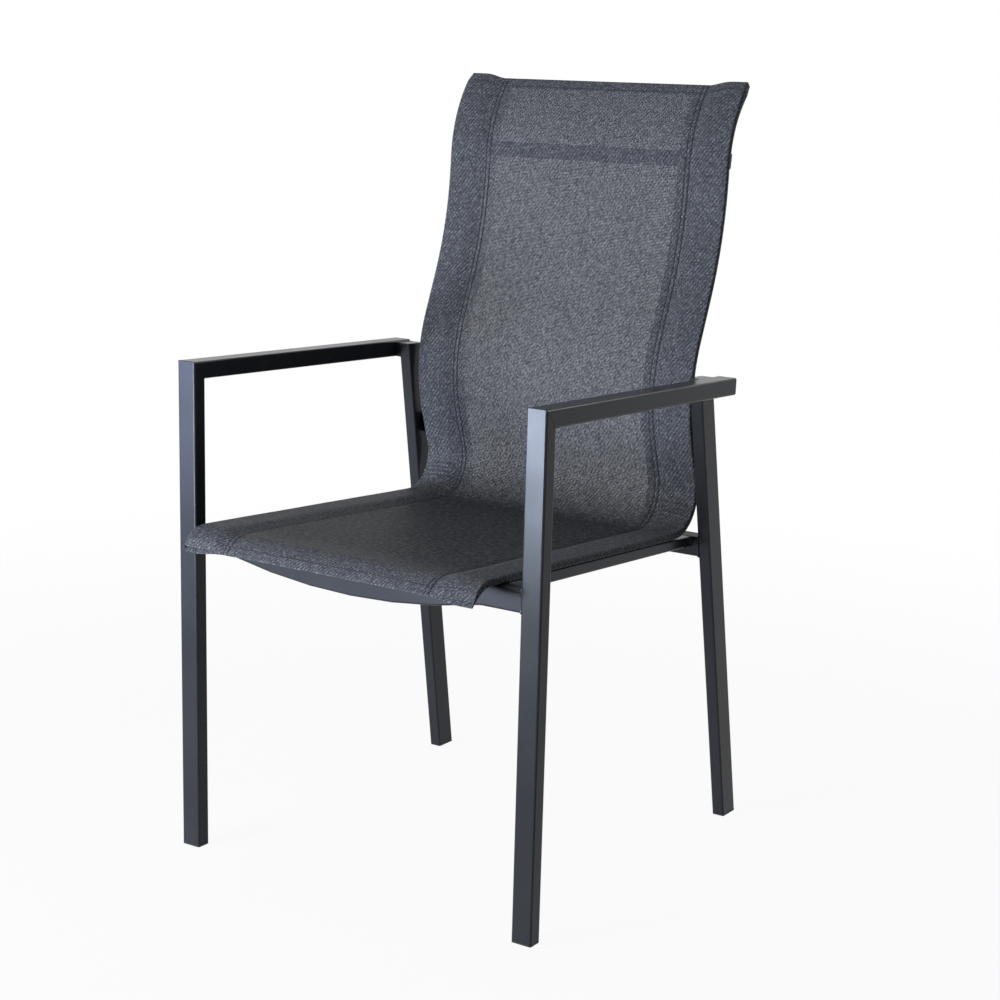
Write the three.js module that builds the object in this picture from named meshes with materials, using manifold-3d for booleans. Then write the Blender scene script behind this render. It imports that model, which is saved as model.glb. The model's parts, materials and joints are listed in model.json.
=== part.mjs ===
// Sling patio chair: a welded aluminium frame, two bent sling rails and a mesh cloth sling.
// Millimetres, +Z up. The sitter faces -Y, and x = 0 is the middle of the chair. The pieces are
// laid out with y = 0 at the front faces of the front legs and z = 0 on the floor.
import * as THREE from 'three';
import { mergeVertices } from 'three/addons/utils/BufferGeometryUtils.js';
import Module from 'manifold-3d';

const wasm = await Module();
wasm.setup();

// Clearances
const gap = 0.3;             // between pieces that are welded, pushed or screwed together
const overrun = 5;           // how far a cutter reaches past what it cuts
const mergeReach = 0.0001;   // vertices closer than this are one

// Frame tubes
const wall = 1.5;
const tubeCorner = 2.5;
const tubeCornerSteps = 2;   // each counts for two facets in a quarter turn
const bendSag = 0.7;         // most that a facet of a bend may cut inside its arc

// Front legs and armrests
const frameWidth = 563;
const frontLegWidth = 28.6;
const frontLegDepth = 20.6;
const armHeight = 660;       // top of the armrest at its front
const armDrop = 16;          // fall of its top to the rear end
const armReach = 466;        // rear end, from the front faces of the front legs
const armThickness = 22.8;
const armCapFlange = 2.4;
const armCapStub = 12;

// Rear legs: places of the outer front edge at armrest height and at the floor
const rearLegWidth = 18;
const rearLegDepth = 34;
const rearLegTopInset = 34.5;  // in from the outer faces of the front legs
const rearLegFootInset = 23.5;
const rearLegTopSetback = 38.5; // from the rear end of the armrest
const rearLegRake = 116;       // how far back the foot stands from the top
const rearLegBelowArm = 2.3;   // top of the leg under the top of the armrest
const legTopPlate = 1.6;

// Foot glides
const glideFlange = 3;
const glideStub = 14;

// Crossbars and seat rails
const frontBarHeight = 28.6;
const frontBarTop = 444;
const frontBarBow = 21.3;    // how far the middle hangs below the ends
const frontBarArc = 900;     // radius of the bow, on its underside
const frontBarBend = 40;     // radius of the bend from the bow to the level ends
const rearBarHeight = 28.6;
const rearBarDepth = 18;
const rearBarBottom = 391.2; // lower front edge
const seatRailWidth = 28.6;
const seatRailHeight = 14.3;
const seatRailInset = 59.5;    // in from the outer faces of the front legs

// Sling rails: flat tubes with round edges
const slingRailWidth = 38;
const slingRailThickness = 8;
const slingRailWall = 1.5;
const frontRailSetback = 21; // from the front mouth of the sleeve to the end of the rail
const railEdgeSteps = 2;     // each counts for two facets in the half turn of an edge
const plugFlange = 2;
const plugStub = 5;
const plugEase = 1;          // room round the stub for the bend of the rail

// Sling cloth
const cloth = 0.9;
const slingInset = 57;         // in from the outer faces of the front legs
const sleeveDepth = 61.5;      // from the side edge to the stitched inner edge of the sleeve
const pocketTip = 3;         // from the seam to the start of the pocket
const hemInset = 5.5;        // the middle of each hem lies this far in from the sleeves' mouths
const mouthThickness = 2.7;  // of the sleeve at its front mouth, where it is pressed flat
const mouthLength = 16;      // over which it gets that flat

// Side profile of the sling's upper face, from the front mouth to the top one. A turn above zero
// bends towards the sitter. The seat stretch lies on the seat rails.
const frontRollRadius = 50;
const frontRollTurn = THREE.MathUtils.degToRad(-63.5);
const seatStartY = -15;
const seatEndSetback = 45.5;   // from the end of the flat seat to the top of the rear crossbar
const seatToBackRadius = 47.5;
const seatToBackTurn = THREE.MathUtils.degToRad(110.5);
const lumbarRise = 52.5;
const lumbarRadius = 214;
const lumbarTurn = THREE.MathUtils.degToRad(-39.2);
const backRise = 59.4;
const shoulderRadius = 467;
const shoulderTurn = THREE.MathUtils.degToRad(18.7);
const neckRise = 19.6;
const headRollRadius = 181;
const headRollTurn = THREE.MathUtils.degToRad(-37);
const headEnd = 10;

// Back crossbar and brackets
const backBarHeight = 21;
const backBarDepth = 11;
const backBarInset = 6.5;      // from the side edges of the sling to the ends of the bar
const backBarZ = 923;        // height of its middle
const backCapFlange = 1.5;
const backCapStub = 6;
const bracketHeight = 30;
const bracketThickness = 3;
const bracketLap = 32.5;       // how far it reaches in behind the side edge of the sling

// Screws
const screwRadius = 2.5;
const screwHeadRadius = 4.5;
const screwHeadHeight = 2.8;
const screwHeadCrown = 0.8;
const screwBite = 3.5;       // past the wall of the sling rail
const screwSides = 12;
const holeSides = 6;
const bracketScrewPitch = 16;
const backBarScrewPitch = 13;
const backBarScrewInset = 19; // from the end of the bar to the middle of its pair of screws
const frontBoltSetback = 54.5; // from the front crossbar
const rearBoltSetback = 84.8;  // from the rear crossbar

// Sizes that follow from the ones above
const sides = [{ name: 'left', sign: 1 }, { name: 'right', sign: -1 }];
const xAxis = new THREE.Vector3(1, 0, 0);
const yAxis = new THREE.Vector3(0, 1, 0);
const zAxis = new THREE.Vector3(0, 0, 1);
const frontLegX = (frameWidth - frontLegWidth) / 2;
const frontLegInnerX = frameWidth / 2 - frontLegWidth;
const rearLegTopX = frameWidth / 2 - rearLegTopInset;
const rearLegFootX = frameWidth / 2 - rearLegFootInset;
const rearLegTopY = armReach - rearLegTopSetback;
const rearLegFootY = rearLegTopY + rearLegRake;
const slingHalfWidth = frameWidth / 2 - slingInset;
const seamX = slingHalfWidth - sleeveDepth;
const backBarHalfLength = slingHalfWidth - backBarInset;
const bracketInnerX = slingHalfWidth - bracketLap;
const armSlope = Math.atan2(armDrop, armReach);
const armAxis = new THREE.Vector3(0, Math.cos(armSlope), -Math.sin(armSlope));
const armUp = new THREE.Vector3(0, Math.sin(armSlope), Math.cos(armSlope));
const armTopCorner = new THREE.Vector3(0, 0, armHeight);
const rearLegLean = Math.atan2(rearLegRake, armHeight);
const leanUp = new THREE.Vector3(0, -Math.sin(rearLegLean), Math.cos(rearLegLean));
const leanBack = new THREE.Vector3(0, Math.cos(rearLegLean), Math.sin(rearLegLean));
const rearBarFrontEdge = new THREE.Vector3(0, rearLegFrontY(rearBarBottom), rearBarBottom);
const rearBarTopEdge = rearBarFrontEdge.clone().addScaledVector(leanUp, rearBarHeight);
const seatRailX = frameWidth / 2 - seatRailInset - seatRailWidth / 2;
const seatFront = new THREE.Vector3(0, frontLegDepth, frontBarTop);
const seatAxis = rearBarTopEdge.clone().sub(seatFront).normalize();
const seatUp = new THREE.Vector3(0, -seatAxis.z, seatAxis.y);
const seatLength = (rearBarTopEdge.y - seatStartY) / seatAxis.y - seatEndSetback;
const stack = 2 * (cloth + gap) + slingRailThickness;
const slingRailX = slingHalfWidth - cloth - gap - slingRailWidth / 2;
const cutSize = 2 * (frameWidth + armHeight + rearLegFootY);

const powderCoat = { color: 0x3d3f45, roughness: 0.5, metalness: 0.4 };
const blackPlastic = { color: 0x17181a, roughness: 0.6, metalness: 0 };
const screwSteel = { color: 0x6c6e72, roughness: 0.35, metalness: 0.9 };
const meshCloth = { color: 0x565a62, roughness: 0.9, metalness: 0 };

function rearLegFrontY(z) {
  return rearLegFootY - rearLegRake * z / armHeight;
}

// Closed three.js geometry to a solid, and back
function solidOf(geometry) {
  const bare = geometry.clone();
  bare.deleteAttribute('normal');
  bare.deleteAttribute('uv');
  const merged = mergeVertices(bare, mergeReach);
  const vertProperties = Float32Array.from(merged.attributes.position.array);
  const triVerts = Uint32Array.from(merged.index.array);
  return new wasm.Manifold(new wasm.Mesh({ numProp: 3, vertProperties, triVerts }));
}

function geometryOf(solid) {
  const mesh = solid.getMesh();
  const geometry = new THREE.BufferGeometry();
  geometry.setAttribute('position', new THREE.BufferAttribute(mesh.vertProperties, 3));
  geometry.setIndex(new THREE.BufferAttribute(mesh.triVerts, 1));
  geometry.computeVertexNormals();
  return geometry;
}

function piece(name, geometry, look, parent) {
  const mesh = new THREE.Mesh(geometry, new THREE.MeshStandardMaterial(look));
  mesh.name = name;
  parent.add(mesh);
  return mesh;
}

// Takes each cutter, a geometry in the chair's frame, away from a mesh that is in its place
function cutAway(mesh, cutters) {
  mesh.updateWorldMatrix(true, false);
  const toMesh = mesh.matrixWorld.clone().invert();
  let solid = solidOf(mesh.geometry);
  for (const cutter of cutters) {
    solid = solid.subtract(solidOf(cutter.clone().applyMatrix4(toMesh)));
  }
  mesh.geometry = geometryOf(solid);
}

// Everything past the plane through a point, on the side that the normal points to
function beyond(point, normal) {
  const turn = new THREE.Quaternion().setFromUnitVectors(zAxis, normal);
  const block = new THREE.BoxGeometry(cutSize, cutSize, cutSize);
  block.translate(0, 0, cutSize / 2);
  block.applyQuaternion(turn);
  return block.translate(point.x, point.y, point.z);
}

function roundedRectangle(width, height, corner) {
  const x = width / 2 - corner;
  const y = height / 2 - corner;
  const outline = new THREE.Shape();
  outline.absarc(x, y, corner, 0, Math.PI / 2);
  outline.absarc(-x, y, corner, Math.PI / 2, Math.PI);
  outline.absarc(-x, -y, corner, Math.PI, 3 * Math.PI / 2);
  outline.absarc(x, -y, corner, 3 * Math.PI / 2, 2 * Math.PI);
  return outline;
}

// Outline of a rectangular tube, with its bore
function tubeOutline(width, height) {
  const outline = roundedRectangle(width, height, tubeCorner);
  outline.holes.push(roundedRectangle(width - 2 * wall, height - 2 * wall, tubeCorner - wall));
  return outline;
}

function boreOutline(width, height) {
  const side = 2 * (wall + gap);
  return roundedRectangle(width - side, height - side, tubeCorner - wall);
}

function straight(outline, depth) {
  return new THREE.ExtrudeGeometry(outline, { depth, bevelEnabled: false, curveSegments: tubeCornerSteps });
}

// A plug: a flange from z = 0 up, with the outline given, and a stub below it
function plugGeometry(flangeOutline, flange, stubOutline, stub) {
  const head = solidOf(straight(flangeOutline, flange));
  const tail = solidOf(straight(stubOutline, stub + flange / 2).translate(0, 0, -stub));
  return geometryOf(head.add(tail));
}

// A plane path of straights and bends. Heading 0 runs along +Y, or +X for a path in the XZ plane.
// Stations lie at equal steps in each bend and at the ends of each straight. An offset moves the
// path to the side that a bend above zero turns away from.
class BentPath extends THREE.Curve {
  constructor(start, heading, legs, offset = 0, along = 'y') {
    super();
    this.along = along;
    this.offset = offset;
    this.stations = [{ u: start[0], v: start[1], heading }];
    for (const leg of legs) {
      for (let step = 0; step < leg.steps; step += 1) {
        this.stations.push(nextStation(this.stations.at(-1), leg));
      }
    }
  }

  station(share) {
    const place = share * (this.stations.length - 1);
    const index = Math.min(Math.floor(place), this.stations.length - 2);
    const from = this.stations[index];
    const to = this.stations[index + 1];
    const part = place - index;
    return {
      u: THREE.MathUtils.lerp(from.u, to.u, part),
      v: THREE.MathUtils.lerp(from.v, to.v, part),
      heading: THREE.MathUtils.lerp(from.heading, to.heading, part),
    };
  }

  vector(u, v, target) {
    return this.along === 'y' ? target.set(0, u, v) : target.set(u, 0, v);
  }

  getPoint(share, target = new THREE.Vector3()) {
    const { u, v, heading } = this.station(share);
    return this.vector(u + this.offset * Math.sin(heading), v - this.offset * Math.cos(heading), target);
  }

  getTangent(share, target = new THREE.Vector3()) {
    const { heading } = this.station(share);
    return this.vector(Math.cos(heading), Math.sin(heading), target);
  }

  // Equal shares of the path are stations, however far apart they lie
  getUtoTmapping(share) {
    return share;
  }

  // An outline's x runs across the path's plane and its y in it
  computeFrenetFrames(segments) {
    const across = this.along === 'y' ? xAxis.clone().negate() : yAxis.clone();
    const tangents = Array.from({ length: segments + 1 }, (_, index) => this.getTangent(index / segments));
    const normals = tangents.map(() => across.clone());
    const binormals = tangents.map((tangent) => tangent.clone().cross(across));
    return { tangents, normals, binormals };
  }
}

// An outline carried along a path, with a ring at each station
function alongPath(outline, path, curveSegments) {
  const steps = path.stations.length - 1;
  return new THREE.ExtrudeGeometry(outline, { steps, extrudePath: path, bevelEnabled: false, curveSegments });
}

function bend(radius, turn) {
  const stepAngle = 2 * Math.acos(1 - bendSag / radius);
  return { radius, turn, steps: Math.ceil(Math.abs(turn) / stepAngle) };
}

function run(length) {
  return { length, steps: 1 };
}

function nextStation(from, leg) {
  if (leg.length !== undefined) {
    const stride = leg.length / leg.steps;
    return {
      u: from.u + stride * Math.cos(from.heading),
      v: from.v + stride * Math.sin(from.heading),
      heading: from.heading,
    };
  }
  const heading = from.heading + leg.turn / leg.steps;
  const reach = leg.radius * Math.sign(leg.turn);
  return {
    u: from.u + reach * (Math.sin(heading) - Math.sin(from.heading)),
    v: from.v - reach * (Math.cos(heading) - Math.cos(from.heading)),
    heading,
  };
}

const chair = new THREE.Group();
const frame = new THREE.Group();
const slingParts = new THREE.Group();
chair.add(frame, slingParts);

// Turn about X that lays a piece's local Z along a direction in the YZ plane
function pitch(direction) {
  return Math.atan2(-direction.y, direction.z);
}

function pointOn(origin, direction, distance) {
  return origin.clone().addScaledVector(direction, distance);
}

function below(z) {
  return beyond(new THREE.Vector3(0, 0, z), zAxis.clone().negate());
}

function above(z) {
  return beyond(new THREE.Vector3(0, 0, z), zAxis);
}

// Front and rear legs. The foot is the middle of the leg on the floor, and local Z runs up the leg.
function frontLeg(side) {
  return {
    end: 'front',
    side,
    foot: new THREE.Vector3(side.sign * frontLegX, frontLegDepth / 2, 0),
    rotation: new THREE.Euler(),
    width: frontLegWidth,
    depth: frontLegDepth,
  };
}

function rearLeg(side) {
  const splay = side.sign * (rearLegTopX - rearLegFootX);
  const rise = new THREE.Vector3(splay, -rearLegRake, armHeight).normalize();
  const footX = side.sign * (rearLegFootX - rearLegWidth / 2);
  const footY = rearLegFootY + rearLegDepth / Math.cos(rearLegLean) / 2;
  return {
    end: 'rear',
    side,
    foot: new THREE.Vector3(footX, footY, 0),
    rotation: new THREE.Euler(pitch(rise), Math.asin(rise.x), 0),
    width: rearLegWidth,
    depth: rearLegDepth,
  };
}

// The side face of a rear leg, moved out of the leg by a distance: 1 for outward, -1 for inward
function besideLeg(leg, facing, distance) {
  const normal = xAxis.clone().applyEuler(leg.rotation).multiplyScalar(facing * leg.side.sign);
  return { point: pointOn(leg.foot, normal, leg.width / 2 + distance), normal };
}

// A length of stock along a leg's axis, cut by planes
function legPiece(leg, name, geometry, look, cutters) {
  const mesh = piece(name, geometry, look, frame);
  mesh.position.copy(leg.foot);
  mesh.rotation.copy(leg.rotation);
  cutAway(mesh, cutters);
  return mesh;
}

function legStock(outline) {
  return straight(outline, armHeight + 2 * rearLegDepth).translate(0, 0, -rearLegDepth);
}

function addLegTube(leg, topCutter) {
  const tube = legStock(tubeOutline(leg.width, leg.depth));
  const name = `${leg.end}_leg_${leg.side.name}`;
  legPiece(leg, name, tube, powderCoat, [below(glideFlange + gap), topCutter]);
}

// Foot glide: a flange as wide as the tube, and a stub up its bore
function addGlide(leg) {
  const name = `foot_glide_${leg.end}_${leg.side.name}`;
  const flange = legStock(roundedRectangle(leg.width, leg.depth, tubeCorner));
  const mesh = legPiece(leg, name, flange, blackPlastic, [below(0), above(glideFlange)]);
  const stub = new THREE.Mesh(legStock(boreOutline(leg.width, leg.depth)));
  stub.position.copy(mesh.position);
  stub.rotation.copy(mesh.rotation);
  cutAway(stub, [below(glideFlange / 2), above(glideFlange + glideStub)]);
  mesh.geometry = geometryOf(solidOf(mesh.geometry).add(solidOf(stub.geometry)));
}

// Front leg and armrest meet on a mitre from their outer corner to their inner one
const mitreDrop = armThickness / Math.cos(armSlope) + frontLegDepth * Math.tan(armSlope);
const mitreNormal = new THREE.Vector3(0, mitreDrop, frontLegDepth).normalize();

function addFrontLeg(side) {
  const leg = frontLeg(side);
  addLegTube(leg, beyond(pointOn(armTopCorner, mitreNormal, -gap / 2), mitreNormal));
  addGlide(leg);
}

function addArmrest(side) {
  const start = pointOn(armTopCorner, armUp, -armThickness / 2).setX(side.sign * frontLegX);
  const length = armReach / Math.cos(armSlope) - armCapFlange;
  const stock = straight(tubeOutline(frontLegWidth, armThickness), length - gap + overrun);
  const arm = piece(`armrest_${side.name}`, stock.translate(0, 0, -overrun), powderCoat, frame);
  arm.position.copy(start);
  arm.rotation.x = pitch(armAxis);
  cutAway(arm, [beyond(pointOn(armTopCorner, mitreNormal, gap / 2), mitreNormal.clone().negate())]);

  const flange = roundedRectangle(frontLegWidth, armThickness, tubeCorner);
  const plug = plugGeometry(flange, armCapFlange, boreOutline(frontLegWidth, armThickness), armCapStub);
  const cap = piece(`armrest_end_cap_${side.name}`, plug, blackPlastic, frame);
  cap.position.copy(pointOn(start, armAxis, length));
  cap.rotation.x = pitch(armAxis);
}

// Rear leg with its top plate, and the block that fills the joint between it and the armrest
function addRearLeg(side) {
  const leg = rearLeg(side);
  const legTop = pointOn(armTopCorner, armUp, -rearLegBelowArm);
  const plateUnder = pointOn(legTop, armUp, -legTopPlate);
  addLegTube(leg, beyond(pointOn(plateUnder, armUp, -gap), armUp));
  addGlide(leg);

  const plate = legStock(roundedRectangle(leg.width, leg.depth, tubeCorner));
  const plateCuts = [beyond(legTop, armUp), beyond(plateUnder, armUp.clone().negate())];
  legPiece(leg, `rear_leg_top_cap_${side.name}`, plate, powderCoat, plateCuts);

  const outerFace = besideLeg(leg, 1, gap);
  const armInner = new THREE.Vector3(side.sign * (frontLegInnerX - gap), 0, 0);
  const armUnder = pointOn(armTopCorner, armUp, -armThickness);
  const block = legStock(roundedRectangle(frontLegWidth, leg.depth, tubeCorner));
  block.translate(side.sign * frontLegWidth / 2, 0, 0);
  legPiece(leg, `arm_joint_block_${side.name}`, block, powderCoat, [
    beyond(outerFace.point, outerFace.normal.clone().negate()),
    beyond(armInner, xAxis.clone().multiplyScalar(side.sign)),
    beyond(legTop, armUp),
    beyond(armUnder, armUp.clone().negate()),
    beyond(pointOn(armTopCorner, armAxis, armReach / Math.cos(armSlope)), armAxis),
  ]);
}

// Front crossbar: level ends, two small bends and a long bow between them
function addFrontCrossbar() {
  const bowRadius = frontBarArc - frontBarHeight / 2;
  const turn = Math.acos(1 - frontBarBow / (bowRadius + frontBarBend));
  const halfLength = frontLegInnerX - gap;
  const level = run(halfLength - (bowRadius + frontBarBend) * Math.sin(turn));
  const shoulder = bend(frontBarBend, -turn);
  const legs = [level, shoulder, bend(bowRadius, 2 * turn), shoulder, level];
  const path = new BentPath([-halfLength, frontBarTop - frontBarHeight / 2], 0, legs, 0, 'x');
  const stock = alongPath(tubeOutline(frontLegDepth, frontBarHeight), path, tubeCornerSteps);
  const bar = piece('front_crossbar', stock, powderCoat, frame);
  bar.position.y = frontLegDepth / 2;
}

function addRearCrossbar() {
  const length = 2 * frontLegInnerX;
  const stock = straight(tubeOutline(rearBarDepth, rearBarHeight), length).translate(0, 0, -length / 2);
  const bar = piece('rear_crossbar', stock, powderCoat, frame);
  bar.position.copy(rearBarFrontEdge);
  bar.position.addScaledVector(leanUp, rearBarHeight / 2).addScaledVector(leanBack, rearBarDepth / 2);
  bar.quaternion.setFromRotationMatrix(new THREE.Matrix4().makeBasis(leanBack, leanUp, xAxis));
  const ends = sides.map((side) => besideLeg(rearLeg(side), -1, gap));
  cutAway(bar, ends.map(({ point, normal }) => beyond(point, normal.clone().negate())));
}

// Seat rail: its top is flush with the tops of both crossbars, and it ends against them
function addSeatRail(side, bolts) {
  const length = seatFront.distanceTo(rearBarTopEdge) + 2 * overrun;
  const stock = straight(tubeOutline(seatRailWidth, seatRailHeight), length).translate(0, 0, -overrun);
  const rail = piece(`seat_rail_${side.name}`, stock, powderCoat, frame);
  rail.position.copy(pointOn(seatFront, seatUp, -seatRailHeight / 2)).setX(side.sign * seatRailX);
  rail.rotation.x = pitch(seatAxis);
  cutAway(rail, [
    beyond(pointOn(seatFront, yAxis, gap), yAxis.clone().negate()),
    beyond(pointOn(rearBarFrontEdge, leanBack, -gap), leanBack),
    ...bolts,
  ]);
}

// Side profile of the sling. The rails' profile is the same without the first two stretches and the
// last one.
const seatHeading = Math.atan2(seatAxis.z, seatAxis.y);
const mouthTurn = -mouthLength / frontRollRadius;
const setbackTurn = -frontRailSetback / frontRollRadius;
const frontSetbackLegs = 2;
const lumbarLeg = 5;
const slingLegs = [
  { radius: frontRollRadius, turn: mouthTurn, steps: 1 },
  { radius: frontRollRadius, turn: setbackTurn - mouthTurn, steps: 1 },
  bend(frontRollRadius, frontRollTurn - setbackTurn),
  run(seatLength),
  bend(seatToBackRadius, seatToBackTurn),
  run(lumbarRise),
  bend(lumbarRadius, lumbarTurn),
  run(backRise),
  bend(shoulderRadius, shoulderTurn),
  run(neckRise),
  bend(headRollRadius, headRollTurn),
  run(headEnd),
];

function slingStart() {
  const onRails = pointOn(seatFront, seatUp, gap + stack);
  const seatStart = pointOn(onRails, seatAxis, (seatStartY - onRails.y) / seatAxis.y);
  const heading = seatHeading - frontRollTurn;
  const roll = { radius: frontRollRadius, turn: frontRollTurn, steps: 1 };
  const reach = nextStation({ u: 0, v: 0, heading }, roll);
  return { u: seatStart.y - reach.u, v: seatStart.z - reach.v, heading };
}

const slingFront = slingStart();
const slingPath = new BentPath([slingFront.u, slingFront.v], slingFront.heading, slingLegs);
const lumbarStation = slingLegs.slice(0, lumbarLeg).reduce((count, leg) => count + leg.steps, 0);
const bracketZ = (slingPath.stations[lumbarStation].v + slingPath.stations[lumbarStation + 1].v) / 2;
const railFront = slingPath.stations[frontSetbackLegs];
const railLegs = slingLegs.slice(frontSetbackLegs, -1);
const railPath = new BentPath([railFront.u, railFront.v], railFront.heading, railLegs, stack / 2);

// Flat tube outline with half round edges
function flatOval(width, thickness) {
  const outline = new THREE.Shape();
  const x = (width - thickness) / 2;
  outline.absarc(x, 0, thickness / 2, -Math.PI / 2, Math.PI / 2);
  outline.absarc(-x, 0, thickness / 2, Math.PI / 2, 3 * Math.PI / 2);
  return outline;
}

function addSlingRail(side, bolts) {
  const outline = flatOval(slingRailWidth, slingRailThickness);
  const bore = 2 * slingRailWall;
  outline.holes.push(flatOval(slingRailWidth - bore, slingRailThickness - bore));
  const stock = alongPath(outline, railPath, railEdgeSteps);
  const rail = piece(`sling_rail_${side.name}`, stock, powderCoat, slingParts);
  rail.position.x = side.sign * slingRailX;
  cutAway(rail, bolts);
}

// Plugs in both ends of a sling rail
function addRailPlugs(side) {
  const flange = flatOval(slingRailWidth - 2 * gap, slingRailThickness - 2 * gap);
  const room = 2 * (slingRailWall + plugEase);
  const stub = flatOval(slingRailWidth - room, slingRailThickness - room);
  for (const [end, share, facing] of [['front', 0, -1], ['top', 1, 1]]) {
    const outward = railPath.getTangent(share).multiplyScalar(facing);
    const geometry = plugGeometry(flange, plugFlange, stub, plugStub);
    const plug = piece(`sling_rail_plug_${end}_${side.name}`, geometry, blackPlastic, slingParts);
    plug.position.copy(pointOn(railPath.getPoint(share), outward, gap)).setX(side.sign * slingRailX);
    plug.rotation.x = pitch(outward);
  }
}

// Half of the sling's section, right of the middle: x, and depth under the upper face. The outer
// loop runs from the seam's underside round the edge to its upper side, and the pocket is what the
// sling rail fills. Both are given with half the thickness of the sleeve.
function slingSection(half) {
  const edgeX = slingHalfWidth - stack / 2;
  const innerX = slingRailX - slingRailWidth / 2;
  const under = [seamX, (stack + cloth) / 2];
  const over = [seamX, (stack - cloth) / 2];
  const outer = [under, ...sleeveLoop(innerX, edgeX, half), over];
  const pocket = [[seamX + pocketTip, stack / 2], ...sleeveLoop(innerX, edgeX, half - cloth)];
  return { outer, pocket };
}

// From the underside of the sleeve's inner end round the edge to its upper face
function sleeveLoop(innerX, edgeX, half) {
  return [[innerX, stack / 2 + half], ...edgeArc(edgeX, half), [innerX, stack / 2 - half]];
}

// Half round edge from the underside to the upper face
function edgeArc(centreX, radius) {
  const facets = 2 * railEdgeSteps;
  return Array.from({ length: facets + 1 }, (_, index) => {
    const angle = Math.PI * (index / facets - 1 / 2);
    return [centreX + radius * Math.cos(angle), stack / 2 - radius * Math.sin(angle)];
  });
}

function mirrored(loop) {
  return loop.map(([x, depth]) => [-x, depth]).reverse();
}

// The whole section: the contour and both pockets
function slingLoops(half) {
  const { outer, pocket } = slingSection(half);
  return [[...mirrored(outer), ...outer], pocket.toReversed(), mirrored(pocket).toReversed()];
}

// Triangles that close the section, as numbers of its points
function slingMouth(loops) {
  const flat = loops.map((loop) => loop.map(([x, depth]) => new THREE.Vector2(x, -depth)));
  const corners = flat.flat();
  return THREE.ShapeUtils.triangulateShape(flat[0], flat.slice(1)).map((face) => {
    const facing = THREE.ShapeUtils.area(face.map((corner) => corners[corner]));
    return facing > 0 ? face : face.toReversed();
  });
}

// The cloth: the section's loops carried along the side profile, closed by a face at each mouth.
// The hems' middles lie in from the mouths.
function slingGeometry() {
  const loops = slingLoops(stack / 2);
  const frontLoops = slingLoops(mouthThickness / 2);
  const points = loops.flat();
  const last = slingPath.stations.length - 1;
  const positions = [];
  slingPath.stations.forEach(({ u, v, heading }, index) => {
    for (const [x, depth] of index === 0 ? frontLoops.flat() : points) {
      const middle = Math.abs(x) <= seamX + pocketTip ? hemInset : 0;
      const inset = middle * (Number(index === 0) - Number(index === last));
      const y = u + depth * Math.sin(heading) + inset * Math.cos(heading);
      const z = v - depth * Math.cos(heading) + inset * Math.sin(heading);
      positions.push(x, y, z);
    }
  });

  const triangles = [];
  for (let index = 0; index < last; index += 1) {
    let first = index * points.length;
    for (const loop of loops) {
      for (let corner = 0; corner < loop.length; corner += 1) {
        const here = first + corner;
        const next = first + (corner + 1) % loop.length;
        triangles.push(here, here + points.length, next + points.length);
        triangles.push(here, next + points.length, next);
      }
      first += loop.length;
    }
  }

  const far = last * points.length;
  for (const [a, b, c] of slingMouth(frontLoops)) triangles.push(a, b, c);
  for (const [a, b, c] of slingMouth(loops)) triangles.push(far + a, far + c, far + b);

  const geometry = new THREE.BufferGeometry();
  geometry.setAttribute('position', new THREE.Float32BufferAttribute(positions, 3));
  geometry.setIndex(triangles);
  return geometry;
}

// A group on the facet of the sling where its upper face reaches a y (key u) or a height (key v).
// Local Y runs down through the sling and local Z along it.
function slingPlace(key, value) {
  const { stations } = slingPath;
  const index = stations.findIndex((at, number) => number > 0 && at[key] >= value);
  const from = stations[index - 1];
  const to = stations[index];
  const part = (value - from[key]) / (to[key] - from[key]);
  const place = new THREE.Group();
  place.position.set(0, THREE.MathUtils.lerp(from.u, to.u, part), THREE.MathUtils.lerp(from.v, to.v, part));
  place.rotation.x = pitch(new THREE.Vector3(0, to.u - from.u, to.v - from.v));
  slingParts.add(place);
  return place;
}

// Screw into a sling rail from behind or below, through a carrier of the thickness given. Returns
// the hole that it needs.
function addScrew(name, place, x, along, carrier) {
  const seat = stack + 2 * gap + carrier;
  const tip = stack - cloth - gap - slingRailWall - screwBite;
  const top = seat + screwHeadHeight;
  const profile = [
    [0, tip],
    [screwRadius, tip],
    [screwRadius, seat],
    [screwHeadRadius, seat],
    [screwHeadRadius, top - screwHeadCrown],
    [screwHeadRadius - screwHeadCrown, top],
    [0, top],
  ];
  const geometry = new THREE.LatheGeometry(profile.map(([r, y]) => new THREE.Vector2(r, y)), screwSides);
  const screw = piece(name, geometry, screwSteel, place);
  screw.position.set(x, 0, along);
  screw.updateWorldMatrix(true, false);
  const holeRadius = (screwRadius + gap) / Math.cos(Math.PI / holeSides);
  const from = tip - gap;
  const to = top + overrun;
  const hole = new THREE.CylinderGeometry(holeRadius, holeRadius, to - from, holeSides);
  return hole.translate(0, (from + to) / 2, 0).applyMatrix4(screw.matrixWorld);
}

// Bracket: a plate from the rear leg's inner face to behind the sling rail, on the middle of the
// straight stretch over the seat's bend
function addBracket(side) {
  const place = slingPlace('v', bracketZ);
  const inner = besideLeg(rearLeg(side), -1, gap);
  const width = rearLegFootX - bracketInnerX;
  const geometry = new THREE.BoxGeometry(width, bracketThickness, bracketHeight);
  const bracket = piece(`back_bracket_${side.name}`, geometry, powderCoat, place);
  const x = side.sign * (bracketInnerX + width / 2);
  bracket.position.set(x, stack + gap + bracketThickness / 2, 0);
  const holes = [-1, 1].map((facing, index) => addScrew(
    `bracket_screw_${side.name}_${index + 1}`,
    place,
    side.sign * slingRailX,
    facing * bracketScrewPitch / 2,
    bracketThickness,
  ));
  cutAway(bracket, [beyond(inner.point, inner.normal.clone().negate()), ...holes]);
  return holes;
}

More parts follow.
